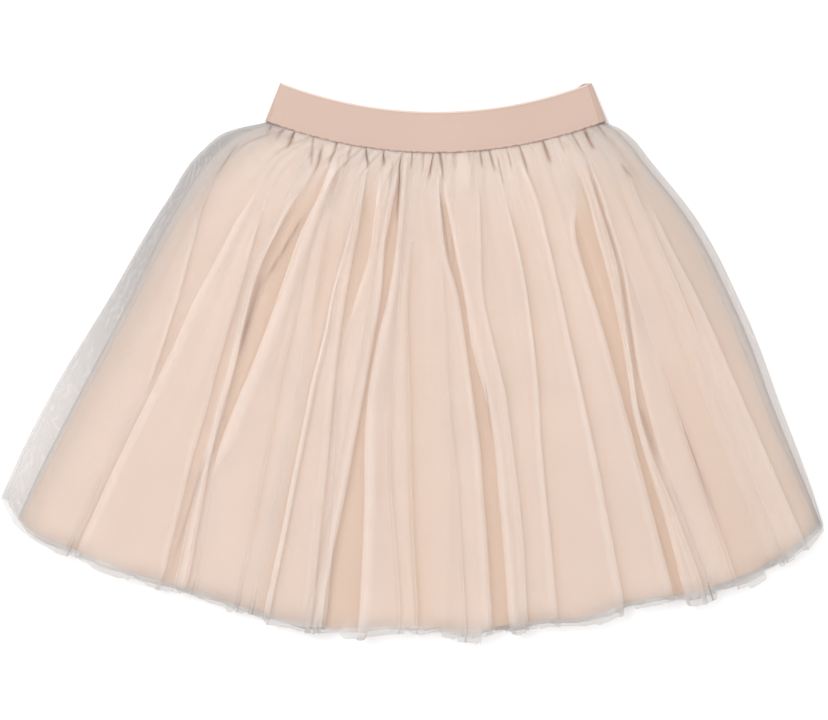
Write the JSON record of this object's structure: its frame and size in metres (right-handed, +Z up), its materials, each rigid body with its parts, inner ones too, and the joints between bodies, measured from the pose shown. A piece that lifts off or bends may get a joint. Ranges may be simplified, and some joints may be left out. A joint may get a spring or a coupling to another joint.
{
  "type": "gathered tulle skirt",
  "caption": "Child's knee-length skirt of sheer tulle gathered onto a wide elastic waistband over an opaque lining, laid flat.",
  "frame": {"origin": "centre of the bounding box's base, on the surface that the skirt lies on", "axes": "+X across the skirt to the viewer's right, +Y up the skirt towards the waistband, +Z up from the surface, out of the skirt's front"},
  "size_m": [0.6018, 0.4086, 0.0207],
  "materials": {
    "elastic": "smooth woven elastic with a slight satin sheen, rose beige",
    "tulle": "very sheer soft net, pale greige",
    "lining": "opaque smooth woven lining, peach, faint sheen"
  },
  "bodies": {
    "root": {"waistband": "elastic", "tulle_outer_front": "tulle", "tulle_outer_back": "tulle", "tulle_inner_front": "tulle", "tulle_inner_back": "tulle", "lining_front": "lining", "lining_back": "lining"}
  },
  "joints": []
}
